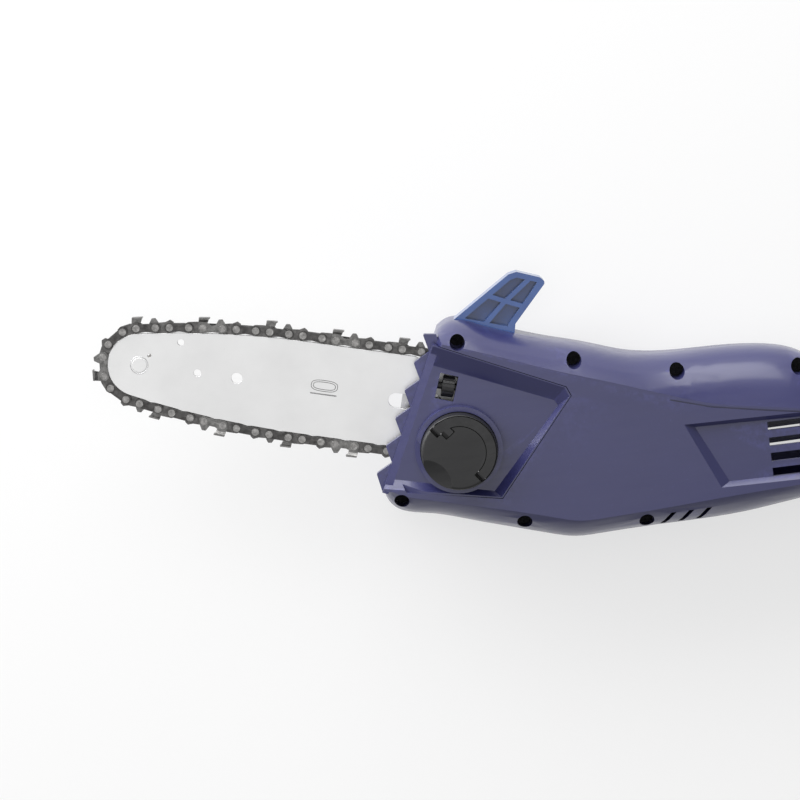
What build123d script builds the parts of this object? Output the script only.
"""Telescoping pole saw, lying on its side. Millimetres.

Design frame: the pole axis is the X axis, the bar points to -X, +Z is the tool's right side (cover side).
Everything is moved at the end so that the origin is the bottom centre of the bounding box.
"""
import math
import os
from build123d import *

os.makedirs("parts", exist_ok=True)
N = {}                                   # node name -> shape


def cyl(r, h, x=0.0, y=0.0, z0=0.0):
    """Cylinder along Z standing on z0."""
    return Pos(x, y, z0 + h / 2) * Cylinder(r, h)


def cylx(r, x0, x1, y=0.0, z=0.0):
    """Cylinder along X from x0 to x1."""
    return Pos((x0 + x1) / 2, y, z) * Rot(0, 90, 0) * Cylinder(r, x1 - x0)


def tubex(ro, ri, x0, x1):
    return cylx(ro, x0, x1) - cylx(ri, x0 - 1, x1 + 1)


def box(x0, x1, y0, y1, z0, z1):
    return Pos((x0 + x1) / 2, (y0 + y1) / 2, (z0 + z1) / 2) * Box(x1 - x0, y1 - y0, z1 - z0)


def plate(pts, z0, z1):
    """Prism over a polygon in the XY plane."""
    f = make_face(Polyline(*[(p[0], p[1], z0) for p in pts], close=True))
    return extrude(f, amount=z1 - z0, dir=(0, 0, 1))


def soften(shape, edges, r):
    """Fillet if the kernel manages it, otherwise keep the sharp edge."""
    for k in (1.0, 0.6, 0.35):
        try:
            out = fillet(edges, r * k)
            if out.is_valid and out.volume > 0:
                return out
        except Exception:
            pass
    return shape


def poly_wire(pts, z):
    return Polyline(*[(p[0], p[1], z) for p in pts], close=True)


# ------------------------------------------------------------------ drive frame
# origin on the bar axis at the bar stud, local +X runs rearwards along the bar axis
BAR_TILT = 15.7
STUD = (-196.3, 55.6)
ZB = 18.0                                # bar plane
DR = Pos(STUD[0], STUD[1], 0) * Rot(0, 0, -BAR_TILT)
ca, sa = math.cos(math.radians(BAR_TILT)), math.sin(math.radians(BAR_TILT))


def dr(w, v):
    """Drive frame point to the design frame."""
    return STUD[0] + w * ca + v * sa, STUD[1] - w * sa + v * ca


PITCH = 9.32
STEP = 2 * PITCH                         # one drive link and one pair of side links
LINKS = 28
A_DL, A_OUT = 7.9, STEP - 7.9            # rivet spacings of drive and side links
RIV = 3.12                               # rivet line above the bar rail
R_SPR = 6 * STEP / (2 * math.pi)
R_NOSE_RIV = 7 * STEP / (2 * math.pi)
NOSE_U = 164.0
R_NOSE = R_NOSE_RIV - RIV
H_BAR = 26.0
U_FLAT = 70.0
R_BIG = ((NOSE_U - U_FLAT) ** 2 + H_BAR ** 2 - R_NOSE ** 2) / (2 * (H_BAR - R_NOSE))
U_LEAVE = 6.0


def half_path(u_s):
    """Rivet line, upper half, from the sprocket's rear to the nose: list of (length, function)."""
    segs = []
    px, py = U_LEAVE, H_BAR + RIV
    dx, dy = px - u_s, py
    d = math.hypot(dx, dy)
    phi = math.atan2(dy, dx) + math.acos(R_SPR / d)          # tangent point angle on the sprocket
    tx, ty = u_s + R_SPR * math.cos(phi), R_SPR * math.sin(phi)
    arc = R_SPR * (math.pi - phi)
    segs.append((arc, lambda s: (u_s + R_SPR * math.cos(math.pi - s / R_SPR),
                                 R_SPR * math.sin(math.pi - s / R_SPR))))
    l1 = math.hypot(px - tx, py - ty)
    segs.append((l1, lambda s: (tx + (px - tx) * s / l1, ty + (py - ty) * s / l1)))
    l2 = U_FLAT - U_LEAVE
    segs.append((l2, lambda s: (px + s, py)))
    rb = R_BIG + RIV
    ang = math.atan2(NOSE_U - U_FLAT, R_BIG - H_BAR)
    segs.append((rb * ang, lambda s: (U_FLAT + rb * math.sin(s / rb), H_BAR - R_BIG
                                      + rb * math.cos(s / rb))))
    a1 = math.pi / 2 - ang
    segs.append((R_NOSE_RIV * a1, lambda s: (NOSE_U + R_NOSE_RIV * math.cos(a1 - s / R_NOSE_RIV),
                                             R_NOSE_RIV * math.sin(a1 - s / R_NOSE_RIV))))
    return segs


lo_u, hi_u = -80.0, -20.0
for _ in range(60):
    mid = (lo_u + hi_u) / 2
    if 2 * sum(q[0] for q in half_path(mid)) > LINKS * STEP:
        lo_u = mid
    else:
        hi_u = mid
U_SPR = (lo_u + hi_u) / 2
SEGS = half_path(U_SPR)
HALF = sum(q[0] for q in SEGS)


def chain_point(s):
    """Point (u, v) of the closed rivet line at arc length s."""
    s = s % (2 * HALF)
    flip = s > HALF
    if flip:
        s = 2 * HALF - s
    for length, fn in SEGS:
        if s <= length + 1e-9:
            u, v = fn(s)
            return (u, -v if flip else v)
        s -= length
    return NOSE_U + R_NOSE_RIV, 0.0


s_ref = SEGS[0][0] + SEGS[1][0] + SEGS[2][0] + (R_BIG + RIV) * math.asin((116.8 - U_FLAT) / (R_BIG + RIV))
PHASE = s_ref % STEP
K_REF = round((s_ref - PHASE) / STEP)    # index of the reference drive link
W_SPR = -U_SPR
SX, SY = dr(W_SPR, 0)

# ------------------------------------------------------------------ guide bar
inner = 7.6


def bar_outline(cut):
    """Closed bar outline in drive frame coordinates (w = -u), shrunk by cut."""
    h, rn, rb = H_BAR - cut, R_NOSE - cut, R_BIG - cut
    ang = math.atan2(NOSE_U - U_FLAT, R_BIG - H_BAR)
    cy = H_BAR - R_BIG
    p1 = (-U_FLAT, h)
    pm = (-(U_FLAT + rb * math.sin(ang / 2)), cy + rb * math.cos(ang / 2))
    p2 = (-(U_FLAT + rb * math.sin(ang)), cy + rb * math.cos(ang))
    tip = (-(NOSE_U + rn), 0)
    tail = 15.6 - cut
    a, b = h - 11.5, h - 8.6
    up = [Line((tail, a), (tail - 3, b)), Line((tail - 3, b), (-12, h)), Line((-12, h), p1),
          ThreePointArc(p1, pm, p2)]
    nose = ThreePointArc(p2, tip, (p2[0], -p2[1]))
    down = [ThreePointArc((p2[0], -p2[1]), (pm[0], -pm[1]), (p1[0], -p1[1])), Line((p1[0], -h), (-12, -h)),
            Line((-12, -h), (tail - 3, -b)), Line((tail - 3, -b), (tail, -a))]
    return make_face(Wire(up + [nose] + down + [Line((tail, -a), (tail, a))]))


full = extrude(bar_outline(0), amount=3.2)
full = Pos(0, 0, ZB - 1.6) * full
core = Pos(0, 0, ZB - 2) * extrude(bar_outline(inner), amount=4)
groove = (Pos(0, 0, ZB - 0.72) * extrude(bar_outline(0), amount=1.44)) - core
groove += cyl(R_NOSE - 0.6, 1.44, -NOSE_U, 0, ZB - 0.72) - cyl(4.9, 4, -NOSE_U, 0, ZB - 2)
bar = full - groove
slot = box(-19.4, 8.0, -4.2, 4.2, ZB - 3, ZB + 3) + cyl(4.2, 6, -19.4, 0, ZB - 3) + cyl(4.2, 6, 8.0, 0, ZB
                                                                                        - 3)
bar -= slot
for w, v, r in ((-142.6, 15.9, 1.9), (-159.1, 6.2, 1.1), (-131.3, 0.1, 2.1), (-109.1, 0.2, 3.1),
                (-1.7, 12.9, 2.45), (-1.7, -12.9, 2.45)):
    bar -= cyl(r, 6, w, v, ZB - 3)
bar += cyl(4.0, 0.25, -NOSE_U, 0, ZB + 1.55)
N["guide_bar"] = DR * bar


def star(teeth, r_root, r_tip, a_root, a_tip, phase):
    """Toothed outline; phase is the angle of the first tooth, all in degrees."""
    pts = []
    for k in range(teeth):
        c = phase + 360.0 * k / teeth
        for a, r in ((-a_root, r_root), (-a_tip, r_tip), (a_tip, r_tip), (a_root, r_root)):
            t = math.radians(c + a)
            pts.append((r * math.cos(t), r * math.sin(t)))
    return pts


def angle_at(u_c, s):
    u, v = chain_point(s)
    return math.degrees(math.atan2(v, -(u - u_c)))           # drive frame: w = -u


gap_nose = angle_at(NOSE_U, PHASE + STEP * round((HALF - PHASE) / STEP))
gap_spr = angle_at(U_SPR, PHASE)
ns = plate(star(7, 10.7, 15.8, 12.5, 7.5, gap_nose + 180 / 7), -0.62, 0.62) - cyl(5.0, 4, 0, 0, -2)
for k in range(7):
    t = math.radians(gap_nose + 360 * k / 7)
    ns -= cyl(1.2, 4, 7.8 * math.cos(t), 7.8 * math.sin(t), -2)
N["nose_sprocket"] = DR * Pos(-NOSE_U, 0, ZB) * ns
sp = plate(star(6, 7.3, 13.6, 15, 10, gap_spr + 30), -3.8, 3.8) - cyl(5.0, 12, 0, 0, -6)
sp += cyl(7.2, 1.6, 0, 0, -5.4) - cyl(5.0, 12, 0, 0, -6)
N["drive_sprocket"] = DR * Pos(W_SPR, 0, ZB) * sp

# ------------------------------------------------------------------ chain
hole_d = cyl(1.6, 2, -A_DL / 2, 0, -1) + cyl(1.6, 2, A_DL / 2, 0, -1)


def rounded(pts, r, z0, z1):
    p = plate(pts, z0, z1)
    return soften(p, p.edges().filter_by(Axis.Z), r)


FOOT = [(6.3, -1.6), (3.6, -3.0), (2.3, -8.6), (0.5, -9.5), (-1.2, -8.2), (-3.2, -3.0), (-6.3, -1.6)]
drive_lo = rounded([(-6.4, 1.9), (-4.6, 3.0), (0.6, 3.3), (5.6, 2.6), (6.4, 1.2)] + FOOT, 0.7, -0.65, 0.65)
drive_hi = rounded([(-6.4, 1.6), (-5.2, 2.4), (1.6, 3.0), (4.4, 4.3), (6.3, 3.0), (6.5, 1.0)] + FOOT,
                   0.7, -0.65, 0.65)
drive_lo -= hole_d
drive_hi -= hole_d
hole_t = cyl(1.75, 8, -A_OUT / 2, 0, -4) + cyl(1.75, 8, A_OUT / 2, 0, -4)
STRAP = [(-8.1, 0.9), (-6.4, 2.3), (6.4, 2.3), (8.1, 0.9), (8.1, -1.2), (6.6, -2.8), (3.8, -2.65),
         (0, -2.15), (-3.8, -2.65), (-6.6, -2.8), (-8.1, -1.2)]
strap = rounded(STRAP, 0.8, 0.72, 1.82) - hole_t
strap_lo = rounded(STRAP, 0.8, -1.82, -0.72) - hole_t


def make_cutter(sg):
    """Cutter link with its side plate on side sg, its top plate reaching over the middle."""
    def span(a, b):
        return (a, b) if sg > 0 else (-b, -a)
    side = rounded([(-8.2, 0.4), (-7.7, 5.9), (-2.0, 5.9), (-2.9, 2.6), (-0.6, 1.5), (1.6, 1.7),
                    (3.3, 5.0), (5.4, 5.2), (6.6, 3.4), (8.1, 0.8), (8.1, -1.2), (6.6, -2.8),
                    (3.8, -2.65), (0, -2.15), (-3.8, -2.65), (-6.6, -2.8), (-8.1, -1.2)],
                   0.5, *span(0.72, 1.82))
    top = plate([(-7.7, 5.0), (-7.6, 5.9), (-1.7, 6.1), (-1.5, 5.6), (-2.0, 5.2)], *span(-0.7, 3.3))
    za, zb = 1.82 * sg, 3.3 * sg
    flare = loft([make_face(Polyline((-7.6, 3.4, za), (-2.6, 3.4, za), (-2.0, 5.6, za), (-7.7, 5.6, za),
                                     close=True)),
                  make_face(Polyline((-7.6, 4.9, zb), (-2.2, 4.9, zb), (-2.0, 5.6, zb), (-7.7, 5.6, zb),
                                     close=True))], ruled=True)
    return (side + top + flare) - hole_t


cutter, cutter_lo = make_cutter(1), make_cutter(-1)
rivet = cyl(1.55, 4.5, 0, 0, -2.25) + cyl(2.05, 0.4, 0, 0, 1.84) + cyl(2.05, 0.4, 0, 0, -2.24)

dls, straps, cut_r, cut_l, rivets = [], [], [], [], []


def place(shape, s, half):
    """+X of the link runs with the chain (towards falling s)."""
    ua, va = chain_point(s + half)
    ub, vb = chain_point(s - half)
    xa, ya, xb, yb = -ua, va, -ub, vb
    ang = math.degrees(math.atan2(yb - ya, xb - xa))
    return DR * Pos((xa + xb) / 2, (ya + yb) / 2, ZB) * Rot(0, 0, ang) * shape


for k in range(LINKS):
    s = PHASE + k * STEP
    rel = (k - K_REF) % 4
    # going towards the housing (falling index) each cutter is followed by a guard link and a plain link
    dls.append(place(drive_hi if rel in (0, 2) else drive_lo, s, A_DL / 2))
    m = s + STEP / 2                     # side link between this drive link and the next one
    if rel == 0:
        cut_r.append(place(cutter, m, A_OUT / 2))
        straps.append(place(strap_lo, m, A_OUT / 2))
    elif rel == 2:
        cut_l.append(place(cutter_lo, m, A_OUT / 2))
        straps.append(place(strap, m, A_OUT / 2))
    else:
        straps.append(place(strap, m, A_OUT / 2))
        straps.append(place(strap_lo, m, A_OUT / 2))
    for off in (-A_DL / 2, A_DL / 2):
        u, v = chain_point(s + off)
        rivets.append(DR * Pos(-u, v, ZB) * rivet)
N["drive_links"] = Compound(children=dls)
N["tie_straps"] = Compound(children=straps)
N["cutters_right"] = Compound(children=cut_r)
N["cutters_left"] = Compound(children=cut_l)
N["chain_rivets"] = Compound(children=rivets)

# ------------------------------------------------------------------ housing shells
T0 = [(-187, 95.8), (-177.6, 100.1), (-160, 94.2), (-142.8, 87.6), (-127, 82.2), (-105, 75.5), (-84, 68.2),
      (-70, 65.4),
      (-38, 63.6), (-5, 60.9), (12, 56.0), (30, 43.0), (56, 26.0)]
T1 = [(-185, 90.8), (-175, 87.4), (-154.3, 79.6), (-133, 71.0), (-117, 65.0), (-101, 59.4), (-80, 51.6),
      (-66, 46.4),
      (-42, 38.2), (-12, 32.0), (8, 28.0), (24, 21.0), (36, 9.0)]
B0 = [(-228.2, 7.7), (-223.6, -0.6), (-205, -6.6), (-180, -14.4), (-155, -22.5), (-138, -28.0),
      (-126, -30.9),
      (-110, -31.2), (-70, -30.7), (-28, -30.0), (4, -26.2), (30, -24.6), (56, -24.0)]
B1 = [(-224.5, 13.3), (-217, 9.2), (-203, 5.0), (-180, -1.2), (-155, -8.2), (-136, -14.0), (-123, -17.6),
      (-108, -18.2),
      (-70, -16.9), (-28, -15.0), (4, -14.0), (24, -12.0), (36, -7.0)]


def mix(p, q, f):
    return [(b[0] + (a[0] - b[0]) * f, b[1] + (a[1] - b[1]) * f) for a, b in zip(p, q)]


# how far the wall stands out at each share of the half shell's depth: 1 at the outer outline (T0, B0), 0 at
# the flat cheek's outline (T1, B1), with a crisp crease where the rounded band meets the cheek
BAND = [(0.0, 1.0), (0.33, 0.99), (0.56, 0.88), (0.76, 0.64), (0.91, 0.32), (1.0, 0.0)]


def stand_out(depth):
    for (d0, f0), (d1, f1) in zip(BAND, BAND[1:]):
        if depth <= d1:
            return f0 + (f1 - f0) * (depth - d0) / (d1 - d0)
    return 0.0


def section(z, zmax, grow=0.0):
    f = stand_out(abs(z) / zmax)
    t, b = mix(T0, T1, f), mix(B0, B1, f)
    if grow:
        t = [(x + (2.8 if i == 0 else 0) - (6 if i == 12 else 0), y - 3.1) for i, (x, y) in enumerate(t)]
        b = [(x + (2.8 if i == 0 else 0) - (6 if i == 12 else 0), y + 3.1) for i, (x, y) in enumerate(b)]
    top = Spline(*[(x, y, z) for x, y in t])
    bot = Spline(*[(x, y, z) for x, y in b])
    return make_face(Wire([top, Line(top @ 1, bot @ 1), bot, Line(bot @ 0, top @ 0)]))


def body(levels, zmax, grow=0.0):
    out = None
    for a, b in zip(levels, levels[1:]):
        part = loft([section(a, zmax, grow), section(b, zmax, grow)], ruled=True)
        out = part if out is None else out + part
    return out


neck = cylx(23.0, 20, 95)
neck = soften(neck, neck.edges().group_by(Axis.X)[-1], 3.0)
Z_CHEEK, Z_BACK = 36.0, -32.0            # flat cheeks of the cover side and of the side it lies on
near = body([d * Z_CHEEK for d, _ in BAND], Z_CHEEK) + (neck & box(0, 120, -40, 40, 0, 40))
far = body([d * Z_BACK for d, _ in BAND], -Z_BACK) + (neck & box(0, 120, -40, 40, -40, 0))
near_in = body([0, 12, 20, 27.4, 30.5], Z_CHEEK, 1.0)
far_in = body([0, -10.6, -18, -24.4, -29.2], -Z_BACK, 1.0)

SCREWS = [(-176.6, 90.4), (-113.8, 71.2), (-57.6, 57.0), (10.0, 50.0), (-219.0, 6.0), (-152.5, -15.3),
          (-84.7, -23.9),
          (40.0, 29.0), (40.0, -17.5)]
bosses = None
for x, y in SCREWS:
    c = cyl(5.8, 70, x, y, -35)
    bosses = c if bosses is None else bosses + c
socket = cylx(20, 24, 60)                 # wall around the pole socket

motor_zone = DR * box(W_SPR + 48, 400, -200, 200, -60, 60)
low_zone = box(-400, 400, -200, 200, -1, 9.8)
cav_near = (near_in & (motor_zone + low_zone)) - bosses - socket
cav_far = far_in - bosses - socket
near -= cav_near
far -= cav_far
bore = cylx(13.06, 28, 100)
near -= bore
far -= bore

RIM = [(-190.4, 91.6), (-120.0, 58.3), (-117.8, 52.8), (-163.0, 0.3), (-229.4, 13.9)]
cover_zone = plate([(-214, 102.8), (-120.0, 58.3), (-117.8, 52.8), (-163.0, 0.3), (-260, 20.0)], 22.3, 50)
chain_zone = plate([(-235, 112), (-195.5, 95.4), (-176.3, 90.0), (-160, 78), (-120.0, 58.3),
                    (-117.8, 52.8), (-163.0, 0.3),
                    (-260, 20.0)], 12.5, 24)
near -= cover_zone
near -= chain_zone
knob_c = (-183.5, 31.1)
near -= cyl(31.0, 3.6, knob_c[0], knob_c[1], 24.3)
for x, y in SCREWS:
    near -= cyl(4.25, 40, x, y, 14)
    near -= cyl(2.1, 30, x, y, -5)
    far -= cyl(1.95, 18, x, y, -17)

# vent recess on the cover side, with four long slots
vent_recess = loft([make_face(poly_wire([(-52.0, 25.6), (-36.5, -7.4), (34, -9.2), (34, 22.5)], 33.0)),
                make_face(poly_wire([(-59.0, 28.6), (-42.5, -10.2), (38, -12.4), (38, 26.0)],
                                    36.5))], ruled=True)
near -= vent_recess
for y in (20.6, 11.6, 2.9, -5.6):
    near -= plate([(-12, y - 2.4), (26, y - 2.9), (26, y + 1.9), (-12, y + 2.4)], 20, 40)
for y in (24.0, 15.0, 6.0, -3.0):
    far -= box(-30, 14, y - 2.0, y + 2.0, -40, -20)
# three slanted drain slots on the lower band
for x in (-72.5, -62.4, -52.3):
    near -= plate([(x - 4.6, -28.3), (x - 1.6, -28.3), (x + 4.6, -20.8), (x + 1.6, -20.8)], 14, 40)

# stepped seam line between near shell and motor hump: shallow groove parallel to the upper crease
groove_h = plate([(-64, 43.5), (-42, 36.6), (-12, 30.6), (8, 27.0), (8, 26.2), (-12, 29.8), (-42, 35.8),
                  (-64, 42.7)], 35.2, 40)
near -= groove_h

# ------------------------------------------------------------------ branch hook
fin = [(-177.4, 99.6), (-143.0, 121.2), (-138.4, 122.0), (-125.6, 117.1), (-122.9, 114.0), (-130.8, 105.7),
       (-142.7, 93.0),
       (-143.8, 88.0), (-143.0, 82.0), (-172.0, 92.0)]
fz0, fz1 = -3.5, 7.5
hook = plate(fin, fz0, fz1)
hook = soften(hook, hook.edges().filter_by(Axis.Z).sort_by(Axis.Y)[-4:], 2.0)


def bar_between(p, q, t, z0, z1):
    dx, dy = q[0] - p[0], q[1] - p[1]
    l = math.hypot(dx, dy)
    nx, ny = -dy / l * t / 2, dx / l * t / 2
    return plate([(p[0] + nx, p[1] + ny), (q[0] + nx, q[1] + ny), (q[0] - nx, q[1] - ny),
                  (p[0] - nx, p[1] - ny)], z0, z1)


win_pts = [(-170.6, 99.9), (-142.2, 118.0), (-138.6, 118.7), (-127.6, 114.6), (-133.6, 107.6),
           (-146.4, 93.6), (-147.0, 92.0)]
ribs = (bar_between((-157.5, 111.4), (-149.5, 107.6), 2.6, fz0, fz1)
        + bar_between((-149.5, 107.6), (-135.4, 101.4), 2.6, fz0, fz1)
        + bar_between((-128.5, 119.5), (-146.4, 106.4), 2.6, fz0, fz1) + bar_between((-146.4, 106.8),
                                                                                     (-161.5,
                                                                                      93.2), 2.6, fz0, fz1))
pockets = plate(win_pts, fz0 - 1, fz1 + 1) - ribs
hook -= pockets - box(-200, -100, 80, 130, 1.2, 2.8)
N["branch_hook"] = hook
near -= hook
far -= hook

# ------------------------------------------------------------------ sprocket cover
front_dir = (-0.4386, -0.8987)
front_nrm = (-0.8987, 0.4386)
F_START = (-192.0, 87.9)


def fr(t, n):
    return (F_START[0] + front_dir[0] * t + front_nrm[0] * n,
            F_START[1] + front_dir[1] * t + front_nrm[1] * n)


rim = [(-189.9, 91.0), (-120.3, 58.0), (-118.2, 52.8), (-163.1, 0.75), fr(83.0, 0.2)]
dish = plate(rim, 28.4, 36.0)
cut_dish = loft([make_face(poly_wire([(-225, 94.0), (-127.4, 50.8), (-125.8, 47.6), (-166.9, 4.4),
                                      (-255, 27.2)], 31.0)),
                 make_face(poly_wire([(-225, 107.6), (-120.9, 58.2), (-118.9, 52.9), (-163.3, 1.3),
                                      (-255, 20.3)], 36.2))], ruled=True)
cover = dish - cut_dish
lip = plate([fr(-4.6, -0.2), fr(84.5, 0.2), fr(84.5, -3.0), fr(-2.6, -3.0)], 22.6, 31.0)
teeth_pts = [fr(-9.0, -0.4)]
for k in range(6):
    teeth_pts += [fr(-6.9 + 16.5 * k, 5.9), fr(-6.0 + 16.5 * k, 6.0)]
    if k < 5:
        teeth_pts += [fr(1.2 + 16.5 * k, 0.3), fr(1.9 + 16.5 * k, 0.2)]
teeth_pts += [fr(84.5, 0.2), fr(84.5, -3.0), fr(-5.6, -3.0)]
spikes = plate(teeth_pts, 22.6, 26.8)
cover = cover + lip + spikes
# bevel along the front edge
bev = loft([make_face(Polyline((*fr(-30, 8), 26.8), (*fr(-30, -4.2), 31.02), (*fr(-30, -4.2), 34),
                               (*fr(-30, 8), 34), close=True)),
            make_face(Polyline((*fr(100, 8), 26.8), (*fr(100, -4.2), 31.02), (*fr(100, -4.2), 34),
                               (*fr(100, 8), 34), close=True))], ruled=True)
bev2 = bev & plate([fr(-3.0, 9), fr(84, 9), fr(84, -9), fr(-3.0, -9)], 20, 40)
cover -= bev2
ring = cyl(24.4, 6.0, knob_c[0], knob_c[1], 30.8) - cyl(21.7, 12, knob_c[0], knob_c[1], 31.0)
cover += ring
# the collar fades out towards the finger side
cover -= Pos(knob_c[0] - 24, knob_c[1] - 13, 39.5) * Rot(0, -14, 0) * Rot(0, 0, 28) * Box(22, 46, 8)
cover -= cyl(5.1, 20, knob_c[0], knob_c[1], 20)
WIN = (-185.7, 66.0)
win = Pos(WIN[0], WIN[1], 30) * Rot(0, 0, -20) * Box(10.4, 14.6, 12)
cover -= win
# brackets for the tension screw and two clamp pads pressing on the bar
ears = DR * box(14.2, 17.4, 9.4, 16.4, 22.4, 28.6)
pads = DR * (box(-10, 7, -21.5, -17.0, ZB + 1.62, 28.6) + box(-10, -7, -21.5, -9.0, ZB + 1.62, 28.6))
cover += ears + pads
cover -= DR * (Pos(5, 12.9, 26.0) * Rot(0, 90, 0) * Cylinder(2.06, 25))
cover -= near
N["sprocket_cover"] = cover

# ------------------------------------------------------------------ knob, bail and latch
ax = (0.6045, -0.7966)                   # bail hinge line
bail_ang = math.degrees(math.atan2(ax[1], ax[0]))
KN = Pos(knob_c[0], knob_c[1], 0) * Rot(0, 0,
                                        bail_ang)       # local +X along the hinge line, +Y towards the bail
CAP_TOP = 45.8
cap = cyl(21.2, 12.6, 0, 0, CAP_TOP - 12.6)
cap = soften(cap, cap.edges().group_by(Axis.Z)[-1], 2.0)
half_up = box(-30, 30, 0, 30, 30, 50)
cap -= (cyl(20.6, 5, 0, 0, 41.6) - cyl(14.6, 5, 0, 0, 41.6)) & half_up
cap -= box(-20.6, -14.6, -2.9, 3, 41.6, 50) + box(14.6, 20.6, -2.9, 3, 41.6, 50)
# shallow finger scoop: its rim is an arc of 15 mm radius on the cap
cap -= Pos(0, -26.9, CAP_TOP + 37.1) * Sphere(40)
cap += cyl(5.0, 9.4, 0, 0, 24.0)
pin_hole = Pos(0, 0, 43.9) * Rot(0, 90, 0) * Cylinder(1.05, 41.0)
cap -= pin_hole & (box(-30, -14, -5, 5, 30, 50) + box(14, 30, -5, 5, 30, 50))
N["cover_knob"] = KN * cap
bail = ((cyl(20.2, 4.0, 0, 0, 41.9) - cyl(15.0, 4.0, 0, 0, 41.9)) & half_up)
Z_BAIL = 43.9                            # height of the bail's hinge line
for side in (-1, 1):
    bail += Pos(17.6 * side, 0, Z_BAIL) * Rot(0, 90, 0) * Cylinder(2.0, 5.0)
bail += box(-15.2, -10.6, 2.4, 6.0, 43.4, 45.9)
bail -= Pos(0, 0, Z_BAIL) * Rot(0, 90, 0) * Cylinder(1.06, 60)
bail -= box(-13, 13, -1, 1.5, 43, 47)
N["knob_bail"] = KN * bail
pins = [Pos(17.4 * side, 0, Z_BAIL) * Rot(0, 90, 0) * Cylinder(1.0, 6.0) for side in (-1, 1)]
pins = Compound(children=pins)
N["bail_pins"] = KN * pins
N["cover_knob"] -= N["knob_bail"] & (KN * box(-14, -10, 1, 7, 43, 46))
cut_tab = KN * box(-15.6, -10.2, 0.0, 6.6, 42.8, 50)
N["cover_knob"] -= cut_tab
tongue_dir = math.degrees(math.atan2(-0.978, -0.207))
tongue = box(-8, 29.6, -6, 6, 24.7, 27.6)
tongue = soften(tongue, tongue.edges().filter_by(Axis.Z), 3.0) - cyl(5.0, 10, 0, 0, 20)
tongue += cyl(8, 1.0, 0, 0, 23.7) - cyl(5.0, 10, 0, 0, 20)
N["latch_tongue"] = Pos(knob_c[0], knob_c[1], 0) * Rot(0, 0, tongue_dir) * tongue

# ------------------------------------------------------------------ chain tension
tw = Pos(8.2, 12.9, 26.0) * Rot(0, 90, 0)
wheel = Cylinder(5.9, 6.6)
for k in range(18):
    wheel -= Rot(0, 0, 20 * k) * Pos(5.9, 0, 0) * Box(0.9, 0.8, 12)
wheel_s = tw * (wheel + Pos(0, 0, -3.4) * Cylinder(1.98, 24.0))
N["tension_wheel"] = DR * wheel_s
nut = box(-4.0, 0.6, 9.3, 16.5, ZB + 3.2, 28.2) + cyl(2.25, 6.0, -1.7, 12.9, ZB - 1.4)
nut -= Pos(0, 12.9, 26.0) * Rot(0, 90, 0) * Cylinder(2.03, 60)
N["tension_nut"] = DR * nut
pad = box(-16, 14, -21, 21, 12.5, ZB - 1.65) + box(-5, 6.5, -4.0, 4.0, ZB - 1.7, ZB + 1.0)
pad -= cyl(4.0, 20, 0, 0, 5) + box(-5, 6, 9.5, 16.3, 14.5, 20) + box(-5, 6, -16.3, -9.5, 14.5, 20)
N["bar_plate"] = DR * pad
N["bar_stud"] = DR * (cyl(4.0, 17.6, 0, 0, 9.8) + cyl(6.5, 1.8, 0, 0, 9.8))
near -= DR * (cyl(4.0, 20, 0, 0, 5) + cyl(6.5, 6.6, 0, 0, 5.0))
hexn = extrude(RegularPolygon(6.9, 6, major_radius=True), amount=5.8) + cyl(7.4, 1.2)
N["bar_nut"] = DR * (Pos(0, 0, ZB + 1.62) * (hexn - cyl(4.0, 20, 0, 0, -2)))

# ------------------------------------------------------------------ gearbox and motor
ZP = -1.0
NG, NP, MOD = 31, 9, 1.6
RG, RP = NG * MOD / 2, NP * MOD / 2
FACE = 8.0
s_in = (RG - FACE) / RG
SPR = DR * Pos(W_SPR, 0, 0)              # local frame on the sprocket shaft


def scaled(pts, k):
    return [(p[0] * k, p[1] * k, p[2] * k) for p in pts]


add, ded = 1.05, 1.45
tw_p = math.pi * MOD / 2 * 0.80          # tooth width on the pitch line
ta = math.tan(math.radians(20))


def tooth_face(pts, k):
    return make_face(Polyline(*scaled(pts, k), close=True))


zt, zr = -RP + add, -RP - ded - 0.5
gt = [(RG, -(tw_p / 2 - add * ta), zt), (RG, tw_p / 2 - add * ta, zt),
      (RG, tw_p / 2 + (ded + 0.5) * ta, zr),
      (RG, -(tw_p / 2 + (ded + 0.5) * ta), zr)]
tooth = loft([tooth_face(gt, 1.0), tooth_face(gt, s_in)], ruled=True)
zg = -RP - ded
r_hub, z_back = 10.0, -13.2


def ring(radius, z):
    corners = [(math.pi * (2 * k + 1) / NG) for k in range(NG)]
    return make_face(Polyline(*[(radius * math.cos(c), radius * math.sin(c), z) for c in corners],
                              close=True))


# flat-sided blank: one facet under each tooth, with its cone running to the shafts' crossing point
blank = loft([ring(RG + 0.3, z_back), ring(RG + 0.3, zg * (1 + 0.3 / RG))], ruled=True)
blank += loft([ring(RG + 0.3, zg * (1 + 0.3 / RG)), ring(RG * s_in, zg * s_in)], ruled=True)
gear = blank + [Rot(0, 0, 360.0 * k / NG) * tooth for k in range(NG)]
gear -= cyl(RG * s_in - 2, 10, 0, 0, zg * s_in * 0.9 - 0.6)
gear += cyl(r_hub, 3.6, 0, 0, -16.2)
gear -= cyl(5.0, 40, 0, 0, -30)
N["bevel_gear"] = SPR * Pos(0, 0, ZP) * gear

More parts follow.
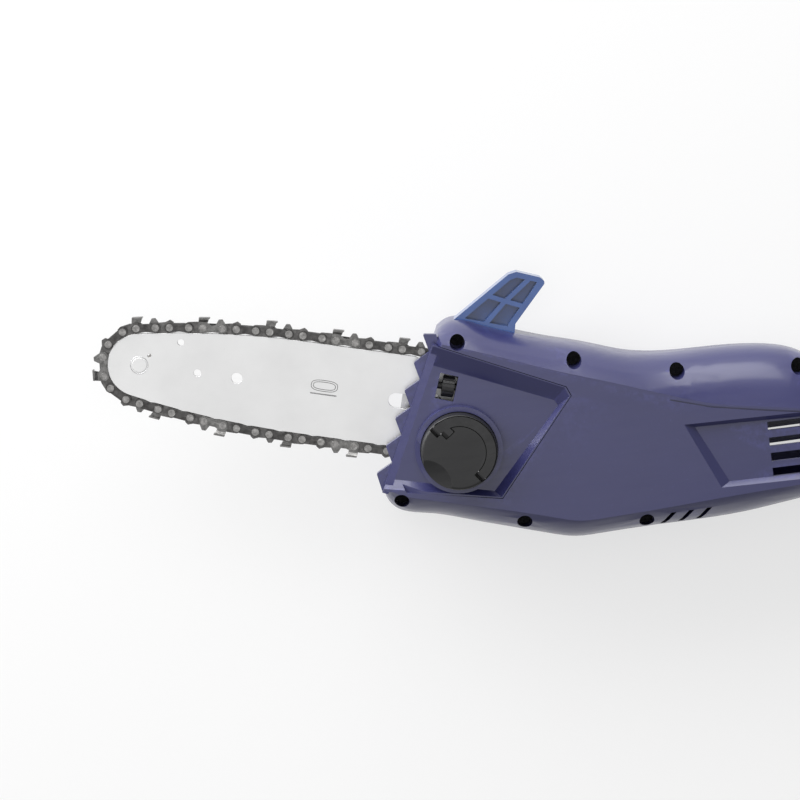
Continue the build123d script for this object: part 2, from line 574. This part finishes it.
pp = []
for k in range(NP):
    c = math.pi / 2 + 2 * math.pi * k / NP
    for r, hw in ((RP - ded, tw_p / 2 + ded * ta), (RP, tw_p / 2), (RP + add, tw_p / 2 - add * ta)):
        pp.append((r, c - hw / r))
    for r, hw in ((RP + add, tw_p / 2 - add * ta), (RP, tw_p / 2), (RP - ded, tw_p / 2 + ded * ta)):
        pp.append((r, c + hw / r))
pin_pts = [(RG, r * math.cos(a), r * math.sin(a)) for r, a in pp]
pinion = loft([make_face(Polyline(*scaled(pin_pts, 1.0), close=True)),
               make_face(Polyline(*scaled(pin_pts, s_in), close=True))], ruled=True)
shaft = cylx(5.0, RG - 0.5, 29.5) + cylx(4.0, 29.5, 145)
core_a = cylx(14.6, 74, 110)
for k in range(12):
    t = math.radians(30 * k)
    core_a -= cylx(1.9, 70, 114, 13.2 * math.cos(t), 13.2 * math.sin(t))
wind = cylx(11.8, 68, 116)
arm = pinion + shaft + core_a + wind
N["armature"] = SPR * Pos(0, 0, ZP) * arm
comm = tubex(9.8, 4.0, 118.5, 131)
for k in range(12):
    comm -= Rot(30 * k, 0, 0) * box(118, 132, -0.3, 0.3, 9.0, 10.5)
N["commutator"] = SPR * Pos(0, 0, ZP) * comm
fanp = tubex(24.4, 4.0, 58, 59.6) + tubex(8, 4.0, 58, 66)
for k in range(9):
    fanp += Rot(40 * k, 0, 0) * box(59.4, 66, -0.8, 0.8, 7.5, 24.2)
N["cooling_fan"] = SPR * Pos(0, 0, ZP) * fanp
st = tubex(26.6, 15.6, 73, 111)
coils = []
for k in range(4):
    t = math.radians(45 + 90 * k)
    y, z = 19 * math.cos(t), 19 * math.sin(t)
    st -= cylx(4.2, 60, 130, y, z)
    c = cylx(4.0, 69.5, 114.5, y, z) - cylx(15.4, 60, 130)
    coils.append(c)
N["stator"] = SPR * Pos(0, 0, ZP) * st
coils = Compound(children=coils)
N["field_coils"] = SPR * Pos(0, 0, ZP) * coils
brg = (tubex(9.5, 4.0, 30, 37) + tubex(9.5, 4.0, 136, 143))
N["motor_bearings"] = SPR * Pos(0, 0, ZP) * brg
bell = tubex(25.6, 9.5, 138, 146) + tubex(25.6, 23.2, 120, 139)
for sgn in (-1, 1):
    bell -= box(115, 137, -9, 9, sgn * 25 - 8, sgn * 25 + 8)
N["end_bell"] = SPR * Pos(0, 0, ZP) * bell
br = box(121.5, 127.5, 10.0, 22.8, -3.6, 3.6) + box(121.5, 127.5, -22.8, -10.0, -3.6, 3.6)
N["carbon_brushes"] = SPR * Pos(0, 0, ZP) * br

case = cyl(31, 36.6, 0, 0, -27.2) - cyl(28, 31.8, 0, 0, -24.0)
case += cyl(13.6, 7.2, 0, 0, -24.6) + cyl(13.6, 7, 0, 0, 2.4)
case += cylx(10.55, 28, 40, 0, ZP)
case -= cyl(11.0, 6.6, 0, 0, -24.0) + cyl(11.0, 7.2, 0, 0, 2.0)
case -= cyl(6.0, 60, 0, 0, -22)
case -= cylx(9.5, 24, 37.2, 0, ZP) + cylx(6.2, 24, 60, 0, ZP)
N["gearcase"] = SPR * case
near -= SPR * cyl(6.5, 20, 0, 0, 6)
R_SEAT = 5.04                            # bearing bore, a running fit on the 10 mm shaft
sb = (cyl(11.0, 6.4, 0, 0, -23.8) + cyl(11.0, 6.4, 0, 0, 2.6)) - cyl(R_SEAT, 40, 0, 0, -30)
N["shaft_bearings"] = SPR * sb
N["sprocket_shaft"] = SPR * (cyl(5.0, 48.0, 0, 0, -23.9) - (cyl(6, 1.0, 0, 0, 22.3) - cyl(4.2, 1.0, 0, 0,
                                                                                          22.3)))
N["sprocket_clip"] = SPR * ((cyl(7.6, 0.9, 0, 0, 22.35) - cyl(4.2, 2, 0, 0, 22))
                            - box(0, 9, -2.6, 2.6, 22, 24))

# ------------------------------------------------------------------ oiling
tank = plate([(-210, 17), (-202.5, 40), (-197, 40), (-196, 27), (-185, 12), (-162, 5), (-162, -8),
              (-185, 0), (-210, 8)], -27.5, 7.5)
tank = soften(tank, tank.edges().filter_by(Axis.Z), 2.0)
tank -= plate([(-208, 16), (-201.2, 38), (-199, 38), (-198, 26), (-186, 10.2), (-164, 3.0), (-164, -5.4),
               (-184.4, 2.2), (-208, 9.6)], -25.7, 5.7)
OC = (-200.5, 22.5)
tank += cyl(6.6, 3.2, OC[0], OC[1], -30.4)
tank -= cyl(5.0, 8, OC[0], OC[1], -31)
N["oil_tank"] = tank
far -= cyl(11.2, 6, OC[0], OC[1], -33)
far -= cyl(6.8, 6, OC[0], OC[1], -31)
capo = cyl(10.9, 1.5, OC[0], OC[1], -31.95) + cyl(4.85, 4.6, OC[0], OC[1], -30.6)
for y0 in (OC[1] - 5.6, OC[1] + 1.6):
    capo -= box(OC[0] - 8, OC[0] + 8, y0, y0 + 4, -32.5, -31.3)
N["oil_cap"] = capo
pump = cyl(6.6, 20, -146.5, -1.0, -20) + box(-153, -140, -2.5, 0.5, -8, 2)
N["oil_pump"] = pump
N["housing_right"] = near
N["housing_left"] = far
scr = None
for x, y in SCREWS:
    one = cyl(3.9, 2.4, x, y, 14) + cyl(1.9, 29.5, x, y, -15.5) - box(x - 2.6, x + 2.6, y - 0.5, y + 0.5,
                                                                      15.4, 18) \
        - box(x - 0.5, x + 0.5, y - 2.6, y + 2.6, 15.4, 18)
    scr = [one] if scr is None else scr + [one]
N["housing_screws"] = Compound(children=scr)

# ------------------------------------------------------------------ pole
X_IN0, X_IN1 = 30.0, 850.0
X_OUT0, X_OUT1 = 150.0, 885.0
ip = tubex(13.0, 11.5, X_IN0, X_IN1)
N["inner_pole"] = ip
N["pole_stop"] = tubex(13.45, 13.0, 830, 848)
op = tubex(15.0, 13.5, X_OUT0, X_OUT1)
N["outer_pole"] = op
N["guide_bush"] = tubex(15.0, 13.08, 140.2, 150.0)
col = cylx(21.0, 136, 186)
col = soften(col, col.edges().filter_by(GeomType.CIRCLE), 1.6)
ears_c = box(150, 172, 12, 33, -11, 11)
ears_c = soften(ears_c, ears_c.edges().filter_by(Axis.Z).sort_by(Axis.Y)[-2:], 5.0)
col = col + ears_c
col -= cylx(15.0, 140.2, 190) + cylx(13.4, 130, 145)
col -= box(138, 190, 10, 40, -1.2, 1.2)
col -= cyl(3.1, 60, 161, 26, -30)
for k in range(9):
    a = math.radians(60 + 30 * k) + math.pi / 2
    col -= cylx(1.0, 139, 147, 21.6 * math.cos(a), 21.6 * math.sin(a))
N["clamp_collar"] = col
bolt = cyl(3.0, 27.0, 161, 26, -13) + cyl(5.6, 3.0, 161, 26, -14)
bolt -= extrude(Pos(161, 26, -14.2) * RegularPolygon(2.6, 6), amount=1.6)
bolt -= cylx(3.0, 150, 172, 26, 17)
N["clamp_bolt"] = bolt
N["lever_pin"] = cylx(3.0, 152.6, 169.4, 26, 17)
arm_pts = [(31.5, 17.2), (31.0, 22.5), (24, 27.0), (0, 28.0), (-20, 24.5), (-31, 17.0), (-29, 14.6),
           (-18.6, 21.2), (0, 24.0), (14, 23.2), (20.5, 17.2)]
arm_f = make_face(Polyline(*[(152.0, y, z) for y, z in arm_pts], close=True))
lev = extrude(arm_f, amount=18, dir=(1, 0, 0)) + cylx(5.5, 152, 170, 26, 17)
lev = soften(lev, lev.edges().filter_by(Axis.X).sort_by(Axis.Y)[:2], 1.0)
lev -= box(157.4, 164.6, 15, 40, 8, 22.5)
lev -= cylx(3.05, 150, 172, 26, 17)
N["clamp_lever"] = lev
foam = tubex(20.0, 15.0, 260, 450)
foam = soften(foam, foam.edges().filter_by(GeomType.CIRCLE).filter_by(lambda e: abs(e.radius
                                                                                    - 20.0) < 0.1), 3.0)
N["foam_grip"] = foam
ringc = tubex(18.4, 15.0, 500, 516)
eye = box(499, 517, -34, -17, -3, 3)
eye = soften(eye, eye.edges().filter_by(Axis.Z).sort_by(Axis.Y)[:2], 7.0)
eye -= cyl(5.0, 20, 508, -26.2, -10)
ringc = ringc + (eye - cylx(15.0, 490, 530))
N["strap_ring"] = ringc

# ------------------------------------------------------------------ rear handle
out_pts = [(818, -21), (818, 21), (862, 23), (878, 34), (884, 58), (896, 69), (1004, 75), (1040, 66),
           (1078, 40), (1092, 24),
           (1092, -27), (1076, -34), (1010, -30), (940, -29), (892, -25), (860, -22)]
hole_pts = [(899, 20), (902, 52), (908, 57), (1002, 61), (1034, 52), (1054, 34), (1058, 24), (1050, 17),
            (1010, 13), (960, 12), (946, 16)]
outl = make_face(Polyline(*out_pts, close=True))
outl = fillet(outl.vertices(), 6.0)
hol = make_face(Polyline(*hole_pts, close=True))
hol = fillet(hol.vertices(), 3.5)


def slab(face, z0, z1):
    return extrude(Pos(0, 0, z0) * face, amount=z1 - z0)


hfull = slab(outl, -19, 19) - slab(hol, -30, 30)
hfull = soften(hfull, hfull.faces().filter_by(Axis.Z).edges(), 5.5)
grip_in = fillet(make_face(Polyline((889, -20), (889, 12), (893, 13.5), (946, 9.5), (1010, 7.5),
                                    (1040, 10), (1060, 10), (1060, -26),
                                    (1010, -25), (940, -24), close=True)).vertices(), 2.0)
h_in = slab(grip_in, -15.5, 15.5)
hfull -= h_in
hfull -= cylx(15.0, 800, 885.3)
inlet_pocket = box(1064, 1100, -22, 8, -15, 15)
hfull -= inlet_pocket
# openings for trigger and lock-off button
hfull -= box(902.4, 945.5, 5, 20, -6.4, 6.4)
hfull -= box(902, 922, -34, -20, -5.2, 5.2)
HS = [(893, -17.5), (890.5, 60.0), (1012, 68.6), (1071, 30.0), (1056.0, -28.6)]
hr = hfull & box(700, 1200, -100, 100, 0, 60)
hl = hfull & box(700, 1200, -100, 100, -60, 0)
for x, y in HS:
    hr += cyl(4.6, 15.5, x, y, 0) - cyl(3.0, 40, x, y, 11.4)
    hr -= cyl(3.1, 40, x, y, 11.6)
    hr -= cyl(1.6, 40, x, y, -1)
    hl -= cyl(1.45, 12, x, y, -11.5)
hscr = []
for x, y in HS:
    hscr.append(cyl(2.9, 2.0, x, y, 11.6) + cyl(1.4, 22.6, x, y, -11)
                - box(x - 2.0, x + 2.0, y - 0.4, y + 0.4, 12.8, 15))
N["handle_screws"] = Compound(children=hscr)

trig_pts = [(906, 3.0), (906, 22.0), (909, 26.0), (921, 25.0), (936, 21.5), (943.5, 18.0), (944, 3.0)]
trig = plate(trig_pts, -6.0, 6.0)
trig = soften(trig, trig.edges().filter_by(Axis.Z).sort_by(Axis.Y)[-4:], 2.0)
TP = (938.5, 2.0)
trig += cyl(4.2, 12, TP[0], TP[1], -6)
trig -= cyl(1.55, 20, TP[0], TP[1], -10)
N["trigger"] = trig
posts = cyl(1.5, 31.0, TP[0], TP[1], -15.5)
hr += posts & box(700, 1200, -100, 100, 0, 60)
hl += posts & box(700, 1200, -100, 100, -60, 0)
btn = box(903, 921, -31.0, -23.0, -4.8, 4.8)
btn = soften(btn, btn.faces().sort_by(Axis.Y)[0].edges(), 1.4)
btn += box(901, 923, -23.0, -20.8, -7.5, 7.5)
hfl = box(900, 924, -24.4, -16, -8.2, 8.2)
hr -= hfl
hl -= hfl
N["lock_off_button"] = btn
sw = box(956, 992, -20, 4, -9, 9) + box(951, 956, -4, 1, -2.5, 2.5)
N["switch_body"] = sw


def spring(r, wire, pitch, height):
    p = Helix(pitch, height, r)
    return sweep(Plane(p @ 0, z_dir=p % 0) * Circle(wire), path=p)


N["trigger_spring"] = Pos(913, -7.8, 0) * Rot(-90, 0, 0) * spring(2.6, 0.5, 2.0, 9.0)
N["lock_off_spring"] = Pos(912, -20.2, 0) * Rot(-90, 0, 0) * spring(3.4, 0.45, 1.9, 5.0)
seat = box(907, 919, -10.0, -8.6, -6, 6)
shelf = box(904, 921, -12.8, -10.0, -15.5, 15.5) + seat
hr += shelf & box(700, 1200, -100, 100, 0, 60)
hl += shelf & box(700, 1200, -100, 100, -60, 0)
N["handle_right"] = hr
N["handle_left"] = hl
inl = box(1064, 1092, -22, 8, -15, 15)
inl = soften(inl, inl.edges().filter_by(Axis.X), 3.0)
inl -= box(1069, 1100, -18.5, 4.5, -12, 12)
bl = box(1066, 1087, -10.2, -3.8, -7.1, -5.6) + box(1066, 1087, -10.2, -3.8, 5.6, 7.1)
N["power_inlet"] = inl - bl
N["inlet_blades"] = bl
fl = cylx(32.0, 803, 808) + cylx(20.0, 800, 818)
fl = soften(fl, fl.edges().filter_by(GeomType.CIRCLE).filter_by(lambda e: abs(e.radius - 32.0) < 0.1), 2.0)
fl -= cylx(15.0, 790, 830)
N["hand_flange"] = fl

# ------------------------------------------------------------------ common origin and export
lo = [1e9] * 3
hi = [-1e9] * 3
for shp in N.values():
    b = shp.bounding_box()
    for i, (p, q) in enumerate(((b.min.X, b.max.X), (b.min.Y, b.max.Y), (b.min.Z, b.max.Z))):
        lo[i], hi[i] = min(lo[i], p), max(hi[i], q)
ORG = Pos(-(lo[0] + hi[0]) / 2, -(lo[1] + hi[1]) / 2, -lo[2])
if __name__ == "__main__":
    print("origin shift", [round(v, 4) for v in (-(lo[0] + hi[0]) / 2, -(lo[1] + hi[1]) / 2, -lo[2])])
    print("size", [round(b - a, 2) for a, b in zip(lo, hi)])
    print("sprocket at", round(SX, 3), round(SY, 3), "u", round(U_SPR, 3))
    for name, shp in N.items():
        out = ORG * shp
        if isinstance(out, (list, ShapeList)):
            out = Compound(children=list(out))
        export_step(out, "parts/" + name + ".step")
        print(name, len(out.solids()), round(out.volume, 1))
